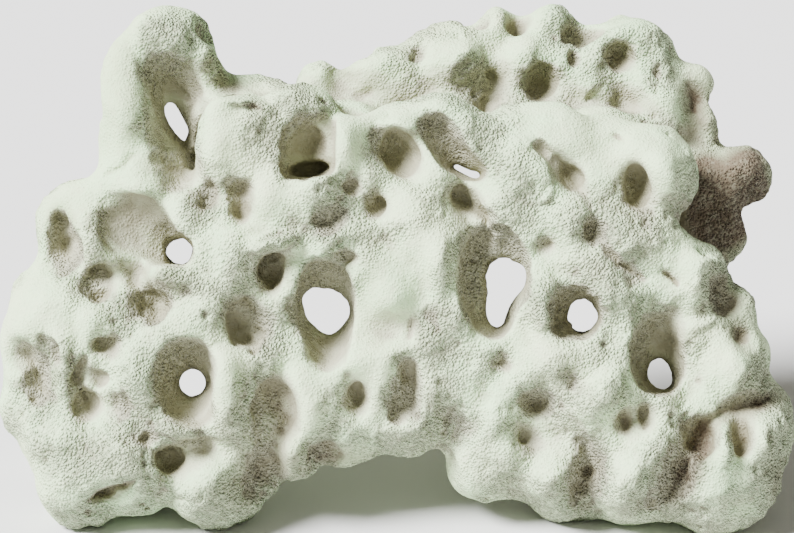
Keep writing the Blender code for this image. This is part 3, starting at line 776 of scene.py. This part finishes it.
# Where the skin is coarse and crumbly (1) and where it is smooth and powdery (0): patches all over, sides
# that turn away from the light, and marks where the real rock shows them: (across, down), half sizes, roll
# and how coarse, negative where it is smooth.
COARSE_MARKS = [
    ((88, 18), (16, 12), 0, 0.8), ((78, 34), (9, 9), 0, 0.3), ((84, 52), (10, 20), 0, -0.6),
    ((66, 114), (17, 15), 0, -1.4), ((100, 62), (4, 22), 0, 0.2), ((60, 46), (13, 36), 0, -1),
    ((36, 100), (15, 10), 0, -0.8), ((48, 112), (5, 18), 0, 0.9), ((112, 62), (11, 14), 0, -0.8),
    ((138, 72), (3.5, 18), 0, 0.9), ((154, 73), (10, 12), 0, -1.2), ((155, 52), (18, 7), 0, 1),
    ((174, 70), (8, 17), 0, -1), ((185, 75), (6, 14), 0, 0.9), ((100, 104), (12, 11), 0, 1),
    ((130, 103), (13, 8), -20, -0.8), ((164, 112), (15, 8), -40, 1), ((137, 121), (14, 5), -15, 1),
    ((120, 138), (8, 14), 30, 0.8), ((132, 170), (9, 16), 0, 0.8), ((196, 148), (17, 20), 0, -0.8),
    ((207, 122), (14, 10), 0, -0.6), ((218, 163), (14, 13), 0, 0.9), ((245, 182), (18, 12), 0, 0.8),
    ((88, 216), (16, 7), 0, 1), ((112, 190), (7, 20), 0, -0.7), ((88, 139), (14, 6), 10, 0.8),
    ((40, 232), (24, 14), 0, 0.7), ((28, 190), (12, 22), 0, 0.5), ((22, 158), (12, 14), 0, -0.4),
    ((106, 232), (16, 10), 0, -0.3), ((156, 205), (10, 16), 0, -0.5), ((180, 182), (12, 8), 0, -0.4),
    ((240, 70), (14, 10), 0, 0.6), ((300, 80), (20, 14), 0, -0.6), ((331, 84), (12, 20), 0, -0.5),
    ((165, 42), (14, 8), 0, -0.8), ((310, 108), (22, 12), 0, 0.3), ((324, 114), (6, 10), 0, 0.9),
    ((352, 138), (10, 10), 0, 0.3), ((296, 136), (18, 10), 0, 0.6), ((308, 168), (14, 16), 0, 0.4),
    ((290, 200), (18, 18), 0, 0.2), ((293, 242), (9, 22), 18, 1.1), ((342, 238), (9, 22), 28, 1.1),
    ((325, 225), (14, 12), 0, 0.6), ((376, 190), (12, 10), 0, 0.5), ((352, 184), (12, 12), 0, -0.3),
    ((262, 234), (16, 14), 0, 0.5), ((195, 103), (12, 12), 0, -0.5), ((176, 60), (14, 16), 0, -0.5),
    ((115, 72), (13, 12), 0, -0.6), ((200, 150), (16, 24), 0, -0.5), ((165, 46), (10, 6), 0, -0.5),
    ((45, 240), (22, 14), 0, -0.3), ((328, 40), (8, 14), 0, 0.8), ((300, 34), (10, 10), 0, 0.4),
    ((236, 30), (24, 8), 0, 0.2), ((278, 60), (20, 6), 0, -0.4), ((384, 236), (10, 12), 0, 0.7),
    ((68, 200), (8, 14), 0, 0.5), ((62, 158), (8, 12), 0, 0.8), ((240, 92), (12, 8), 0, -0.3),
    ((270, 150), (8, 12), 0, 0.7),
]
COARSE_REACH = 1.45
COARSE_WANDER = 3
COARSE_PATCH = 34 * MM
SMALL_PATCH = 13 * MM
PATCHES_COUNT = 0.8
SHADE_COUNTS = 0.7
SHADE_FROM = 0.55
COARSE_BETWEEN = (-0.35, 0.75)
LIT_FROM = Vector((-0.64, -0.27, 0.72)).normalized()


def step_between(values, low, high):
    """0 below low, 1 above high, and smooth between."""
    share = np.clip((values - low) / (high - low), 0, 1)
    return share * share * (3 - 2 * share)


def coarse_and_shaded_at(thing):
    places = places_of(thing)
    normals = normals_of(thing)
    across, down, _ = on_sheet(places)
    facing = np.clip(normals @ np.array(TOWARD) * 2, 0, 1)
    patches = noise_at(places, COARSE_PATCH, 5.0) + 0.5 * noise_at(places, SMALL_PATCH, 2.0)
    across, down = across + COARSE_WANDER * patches, down - COARSE_WANDER * patches
    marks = on_marks(across, down, COARSE_MARKS, COARSE_REACH) * facing
    # Sides turned from the light count as coarse. The skin is made coarser there, and the colour paints them
    # darker: painted shade.
    turned_away = (SHADE_FROM - normals @ np.array(LIT_FROM)) * facing
    return step_between(PATCHES_COUNT * patches + marks + SHADE_COUNTS * turned_away, *COARSE_BETWEEN)


# Slow swells, worn edges and crumbs, all in millimetres. The last two kinds are higher where the skin is
# coarse: height on smooth skin, how much is added on coarse skin, length, and where the noise starts.
SLOW_SWELL = 1.1
SLOW_SWELL_LENGTH = 18 * MM
RIDGE_LENGTH = 12 * MM
RIDGE_BEND = 3 * MM
RIDGE = 0.45
COARSE_RIDGE = 0.6
CRUMBS = [(0.2, 1.0, 6.5 * MM, 1.0), (0.04, 0.8, 3.2 * MM, 2.5)]

places = places_of(rock)
coarse_and_shaded = coarse_and_shaded_at(rock)
lift = SLOW_SWELL * noise_at(places, SLOW_SWELL_LENGTH, 4.0)
ridges = 1 - 2 * np.abs(noise_at(bent(places, RIDGE_LENGTH, RIDGE_BEND, 6.0), RIDGE_LENGTH, 8.0))
lift += ridges * (RIDGE + COARSE_RIDGE * coarse_and_shaded)
for smooth_height, coarse_height, length, start in CRUMBS:
    lift += noise_at(places, length, start) * (smooth_height + coarse_height * coarse_and_shaded)
move_to(rock, places + normals_of(rock) * lift[:, None] * MM)

# Small pits, scattered: many tiny ones in coarse skin, and larger ones on the sides that the photo hides:
# count, radii in millimetres, and depth as a share of the radius.
SEED = 5
HIDDEN_DENTS = (240, (3.5, 8.5), 0.75)
TINY_DENTS = (1100, (1.2, 2.6), 0.5)
DENT_SPREAD = (0.7, 1.2)
TURNED_BACK = (-0.6, -0.15)
LEAST_SHARE = 0.06
rng = random.Random(SEED)


def dent(thing, count, radii, slope, share_of):
    """Sinks round pits at random points of the skin. share_of says how likely a point takes one."""
    places = places_of(thing)
    outward = normals_of(thing)
    shares = share_of(thing)
    tree = KDTree(len(places))
    for index, point in enumerate(places):
        tree.insert(point, index)
    tree.balance()
    sunk = np.zeros(len(places))
    made = 0
    while made < count:
        index = rng.randrange(len(places))
        if rng.random() > shares[index]:
            continue
        made += 1
        radius = rng.uniform(*radii) * MM
        deep = radius * slope * rng.uniform(*DENT_SPREAD)
        for _, near, distance in tree.find_range(places[index], radius):
            sunk[near] = max(sunk[near], deep * (1 - (distance / radius) ** 3) ** 1.5)
    move_to(thing, places - outward * sunk[:, None])


def hidden_share(thing):
    """1 on skin that the viewer can't see, 0 on what faces the viewer."""
    return 1 - step_between(normals_of(thing) @ np.array(TOWARD), *TURNED_BACK)


def coarse_share(thing):
    """1 on coarse skin, and nearly 0 on smooth skin."""
    return LEAST_SHARE + (1 - LEAST_SHARE) * coarse_and_shaded_at(thing) ** 2


dent(rock, *HIDDEN_DENTS, hidden_share)
dent(rock, *TINY_DENTS, coarse_share)

# The skin, which is all quads up to here, is thinned where it is smooth, and kept inside the solid's box.
SKIN_TRIANGLES = 190000
thin = rock.modifiers.new("Thin", "DECIMATE")
thin.ratio = SKIN_TRIANGLES / (2 * len(rock.data.polygons))
settle(rock)
rock.data.shade_smooth()
low, high = (np.array(corner) for corner in cad_box)
move_to(rock, np.clip(places_of(rock), low, high))

# Its green stains, and its painted shade: places as for the coarse marks, and how strong. The brown marks
# paint shade where the rock lies in shadow, under ledges, in recesses and on slopes turned from the light,
# and negative ones lighten it. The flank's painted shade is on the right side behind, deeper than the front
# mass.
GREEN_MARKS = [
    ((31, 115), (8, 14), -12, 1.0), ((21, 184), (10, 19), -8, 1.1), ((38, 105), (16, 12), 0, 0.2),
    ((96, 64), (5, 8), 0, 0.5), ((62, 46), (16, 40), 0, 0.35), ((158, 112), (12, 10), 0, 0.1),
    ((112, 72), (5, 6), 0, 0.5), ((190, 140), (20, 26), 0, 0.25), ((130, 200), (10, 14), 0, 0.2),
]
SHADE_MARKS = [
    ((349, 55), (8, 18), -8, 1.0), ((352, 211), (13, 7), -15, 0.6), ((369, 205), (15, 6), -12, 0.6),
    ((386, 198), (10, 7), -20, 0.4), ((362, 148), (9, 17), -20, 0.6), ((370, 168), (6, 9), -25, 0.7),
    ((130, 236), (20, 12), -40, 0.55), ((163, 227), (11, 7), 10, 0.8), ((140, 204), (9, 17), -10, 0.7),
    ((121, 163), (9, 14), 10, 0.1), ((344, 236), (9, 22), 28, 0.9), ((294, 241), (7, 20), 18, 0.6),
    ((270, 41), (8, 9), 0, 0.4), ((309, 28), (7, 7), 0, 0.4), ((147, 74), (8, 12), 0, -0.3),
    ((161, 72), (8, 16), 0, 0.4), ((128, 53), (4, 3), 30, 0.8), ((66, 108), (16, 12), 0, 0.6),
    ((80, 84), (12, 6), 20, 0.5), ((351, 220), (6, 10), 0, 0.8), ((371, 219), (4, 10), 0, 0.7),
    ((83, 52), (10, 22), 0, -0.35), ((201, 77), (8, 13), -33, -0.25), ((82, 141), (12, 6), 10, 0.5),
    ((83, 197), (10, 15), 0, 0.3), ((150, 232), (10, 9), 0, 0.4), ((176, 229), (14, 6), 0, 0.5),
    ((346, 233), (11, 18), 28, 0.2), ((380, 203), (14, 7), -15, 0.4), ((171, 36), (9, 4), 15, 0.5),
    ((111, 37), (8, 14), -30, 0.45), ((121, 43), (12, 5), 10, 0.35), ((344, 168), (12, 4), -8, 0.35),
    ((84, 166), (12, 5), -10, 0.2), ((109, 96), (5, 9), 0, 0.4), ((122, 100), (7, 10), 0, 0.3),
    ((388, 240), (6, 12), 0, 0.6), ((257, 11), (6, 7), 0, 0.3), ((313, 211), (4, 8), 0, 0.6),
    ((105, 246), (20, 8), 0, 0.2),
]
FLANK_MARKS = [
    ((360, 106), (22, 26), 0, 2.2), ((374, 94), (13, 13), 0, 2.4), ((352, 84), (10, 12), 0, 1.3),
    ((374, 79), (15, 9), 0, 1.4),
]
STAIN_REACH = 1.4
FLANK_REACH = 1.3
FLANK_DEEP = -15.0
DENT_ROUNDS = 12
VALLEY_ROUNDS = 90
SKY_RAYS = 24
SKY_REACH = 60 * MM
SKY_START = 0.3
SKY_FADE = 0.6


def sky_directions():
    """Directions over a half ball, closer together round its pole."""
    directions = []
    for ray in range(SKY_RAYS):
        height = math.sqrt(1 - (ray + 0.5) / SKY_RAYS)
        turn = ray * math.pi * (3 - math.sqrt(5))
        flat = math.sqrt(1 - height * height)
        directions.append(Vector((flat * math.cos(turn), flat * math.sin(turn), height)))
    return directions


def closed_in(thing):
    """How closed in each point is, from 0 in the open to 1 deep in a hollow."""
    skin = skin_of(thing)
    directions = sky_directions()
    shares = []
    for vertex in thing.data.vertices:
        turned = vertex.normal.to_track_quat("Z", "Y").to_matrix()
        start = vertex.co + vertex.normal * SKY_START * MM
        total = 0.0
        for direction in directions:
            distance = skin.ray_cast(start, turned @ direction, SKY_REACH)[3]
            if distance is not None:
                total += 1 - distance / SKY_REACH * SKY_FADE
        shares.append(total / SKY_RAYS)
    return np.array(shares)


def sunk_below(thing, rounds):
    """How far each point lies below the skin's general run there, in millimetres."""
    copy = add_mesh_object("evened", thing.data.copy())
    soften(copy, rounds)
    below = ((places_of(copy) - places_of(thing)) * normals_of(thing)).sum(axis=1)
    bpy.data.objects.remove(copy)
    return below / MM


def keep_values(thing, name, values):
    attribute = thing.data.attributes.new(name, "FLOAT", "POINT")
    attribute.data.foreach_set("value", values.astype(np.float32))


across, down, deep = on_sheet(places_of(rock))
facing = np.clip(normals_of(rock) @ np.array(TOWARD) * 3 + 0.6, 0, 1)
flank = on_marks(across, down, FLANK_MARKS, FLANK_REACH) * (deep > FLANK_DEEP)
# Painted shade comes from these: how closed in the skin is, how far it is sunk below its general run, and the
# marked places and the flank, which lie in shadow.
keep_values(rock, "hollow", closed_in(rock))
keep_values(rock, "dent", np.clip(sunk_below(rock, DENT_ROUNDS) * 0.8 + 0.5, 0, 1))
keep_values(rock, "coarse_and_shaded", coarse_and_shaded_at(rock))
keep_values(rock, "valley", sunk_below(rock, VALLEY_ROUNDS))
keep_values(rock, "green", on_marks(across, down, GREEN_MARKS, STAIN_REACH) * facing)
keep_values(rock, "marked_shade", (on_marks(across, down, SHADE_MARKS, STAIN_REACH) + flank) * facing)

# Its chalk. Powdery skin is mint and cream, with green stains and dusty flecks at random. Coarse or sunk skin
# and sides turned from the light get a dull, dusty painted shade. The hollows get painted shade from tan to
# olive and brown, and the gaps between grains on coarse skin get dark painted shade.
MINT = (0.57, 0.815, 0.465, 1)
CREAM = (0.67, 0.79, 0.50, 1)
GREEN = (0.37, 0.44, 0.25, 1)
DUST_AND_SHADE_TONE = (0.48, 0.485, 0.355, 1)
TAN = (0.345, 0.325, 0.22, 1)
OLIVE = (0.22, 0.21, 0.13, 1)
BROWN = (0.135, 0.105, 0.07, 1)
GAP_SHADE = (0.24, 0.235, 0.165, 1)
CHALK_ROUGHNESS = 0.93
CHALK_SPECULAR = 0.25
chalk = bpy.data.materials.new("chalk")
chalk.use_nodes = True
tree = chalk.node_tree
surface = tree.nodes["Principled BSDF"]


class Value:
    """A number that varies over the surface: a socket whose sums are made of Math nodes."""

    def __init__(self, socket):
        self.socket = socket

    def math(self, operation, *others, clamp=False):
        return node("ShaderNodeMath", dict(operation=operation, use_clamp=clamp), self, *others)

    def __add__(self, other):
        return self.math("ADD", other)

    __radd__ = __add__

    def __mul__(self, other):
        return self.math("MULTIPLY", other)

    __rmul__ = __mul__

    def __sub__(self, other):
        return self.math("SUBTRACT", other)

    def __rsub__(self, other):
        return node("ShaderNodeMath", dict(operation="SUBTRACT"), other, self)

    def __pow__(self, other):
        return self.math("POWER", other)

    def clamped(self):
        return self.math("ADD", 0.0, clamp=True)

    def between(self, low, high):
        """0 below low, 1 above high, and smooth between."""
        settings = dict(interpolation_type="SMOOTHSTEP")
        return node("ShaderNodeMapRange", settings, self, low, high, 0.0, 1.0)


def feed(socket, value):
    """Links the socket to a value that varies, or sets it to one that doesn't."""
    if isinstance(value, Value):
        tree.links.new(value.socket, socket)
    else:
        socket.default_value = value


def node(kind, settings, *inputs, output=0, **named):
    """Adds a node, sets it, feeds its inputs in order or by name, and gives one output."""
    made = tree.nodes.new(kind)
    for setting, value in settings.items():
        setattr(made, setting, value)
    for socket, value in zip([socket for socket in made.inputs if socket.enabled], inputs):
        feed(socket, value)
    for name, value in named.items():
        feed(made.inputs[name], value)
    return Value(made.outputs[output])


def mixed(share, first, second):
    """A colour between two colours."""
    made = tree.nodes.new("ShaderNodeMix")
    made.data_type = "RGBA"
    wanted = {"Factor_Float": share, "A_Color": first, "B_Color": second}
    for socket in made.inputs:
        if socket.identifier in wanted:
            feed(socket, wanted[socket.identifier])
    return Value(next(socket for socket in made.outputs if socket.identifier == "Result_Color"))


def painted(name):
    """The values kept on the mesh under that name."""
    return node("ShaderNodeAttribute", dict(attribute_name=name), output="Fac")


def cloud(size, detail=3.0, rough=0.55):
    """Noise from 0 to 1 with patches of about that size, in millimetres."""
    named = dict(Vector=spot, Scale=1000 / size, Detail=detail, Roughness=rough)
    return node("ShaderNodeTexNoise", {}, output="Fac", **named)


def granules(size):
    """0 in the middle of each granule and about 1 in the gaps between them."""
    return node("ShaderNodeTexVoronoi", {}, output="Distance", Vector=spot, Scale=1000 / size)


PATCH_WIDE = 46
MOTTLE_WIDE = 9
FLECK_WIDE = 4.5
CRUMB_WIDE = 2.4
GRIT_WIDE = 1.35

spot = node("ShaderNodeTexCoord", {}, output="Object")
hollow, small_hollow, coarse_and_shaded = painted("hollow"), painted("dent"), painted("coarse_and_shaded")
green, marked_shade, valley = painted("green"), painted("marked_shade"), painted("valley")
patches = cloud(PATCH_WIDE, 4.0)
fine = cloud(MOTTLE_WIDE, 4.0)
flecks = cloud(FLECK_WIDE, 4.0, 0.7)
crumbs = cloud(CRUMB_WIDE, 3.0, 0.62)
grit = granules(GRIT_WIDE)
grains = (1 - grit).clamped() ** 2.5
rough = coarse_and_shaded * (1 - hollow.between(0.22, 0.6) * 0.6)

creamy = (patches - 0.5) * 2.4 + 0.5 + (fine - 0.5) * 0.8
# Painted shade: dull where the skin is coarse, turned from the light or sunk in a valley, and tan to olive
# and brown in closed-in hollows, small dents and the marked shady places.
dust_and_shade = coarse_and_shaded * 0.5 + valley.between(0.1, 2.2) * 0.5 + hollow.between(0.08, 0.3) * 0.7 - 0.1
mid_shade = (hollow.between(0.2, 0.65) * 0.75 + marked_shade * 0.35) * (0.7 + 0.6 * fine)
small_shade = small_hollow.between(0.60, 1.0)
deep_shade = hollow.between(0.4, 0.9) * 0.55 + small_shade * 0.3 + marked_shade * 0.8
deep_shade_tone = mixed((marked_shade * 0.9 + (patches - 0.5)).clamped(), OLIVE, BROWN)
gaps = (grit * 0.85 + (0.5 - crumbs) * 1.2).between(0.25, 0.9)

tone = mixed(creamy.clamped(), MINT, CREAM)
tone = mixed((green * (0.4 + fine)).clamped(), tone, GREEN)
tone = mixed(dust_and_shade.clamped(), tone, DUST_AND_SHADE_TONE)
tone = mixed(mid_shade.clamped(), tone, TAN)
tone = mixed((deep_shade * (0.75 + 0.5 * fine)).clamped(), tone, deep_shade_tone)
tone = mixed(flecks.between(0.5, 0.68) * 0.22, tone, DUST_AND_SHADE_TONE)
# Dark painted shade in the gaps between grains, most on coarse skin and on sides turned from the light.
tone = mixed((gaps * (rough * 0.66 + 0.08)).clamped(), tone, GAP_SHADE)
tree.links.new(tone.socket, surface.inputs["Base Color"])
surface.inputs["Roughness"].default_value = CHALK_ROUGHNESS
surface.inputs["Specular IOR Level"].default_value = CHALK_SPECULAR

BUMP_HEIGHT = 2.4 * MM
height = grains * (0.12 + rough) * 1.6 + crumbs * (0.25 + 1.25 * rough)
bump = node("ShaderNodeBump", {}, Strength=1.0, Distance=BUMP_HEIGHT, Height=height, output="Normal")
tree.links.new(bump.socket, surface.inputs["Normal"])

rock.data.materials.clear()
rock.data.materials.append(chalk)
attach(rock, "root")
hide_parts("rock")


# The floor. It is a plain, pale, matt sheet that the rock stands on, laid flat and left loose, and much wider
# than the view.
FLOOR_WIDE = 8.0
FLOOR_TONE = (0.7, 0.7, 0.7, 1)
FLOOR_ROUGHNESS = 0.9
floor_bm = bmesh.new()
bmesh.ops.create_grid(floor_bm, x_segments=1, y_segments=1, size=FLOOR_WIDE / 2)
floor_mesh = bpy.data.meshes.new("floor")
floor_bm.to_mesh(floor_mesh)
floor_bm.free()
floor = add_mesh_object("floor", floor_mesh)
pale = bpy.data.materials.new("pale_floor")
pale.use_nodes = True
matt = pale.node_tree.nodes["Principled BSDF"]
matt.inputs["Base Color"].default_value = FLOOR_TONE
matt.inputs["Roughness"].default_value = FLOOR_ROUGHNESS
floor_mesh.materials.append(pale)


# The light. It comes from one large, soft sun at the upper left, a little to the front, and a weak, pale sky
# fills the shade.
SUN_STRENGTH = 15.2
SUN_SPREAD = math.radians(24)
SKY_TONE = (1.0, 0.93, 0.84, 1)
SKY_STRENGTH = 0.3
sun = bpy.data.objects.new("key", bpy.data.lights.new("key", "SUN"))
bpy.context.scene.collection.objects.link(sun)
sun.data.energy = SUN_STRENGTH
sun.data.angle = SUN_SPREAD
sun.rotation_mode = "QUATERNION"
sun.rotation_quaternion = (-LIT_FROM).to_track_quat("-Z", "Y")
sky = bpy.data.worlds.new("sky")
sky.use_nodes = True
air = sky.node_tree.nodes["Background"]
air.inputs["Color"].default_value = SKY_TONE
air.inputs["Strength"].default_value = SKY_STRENGTH
bpy.context.scene.world = sky
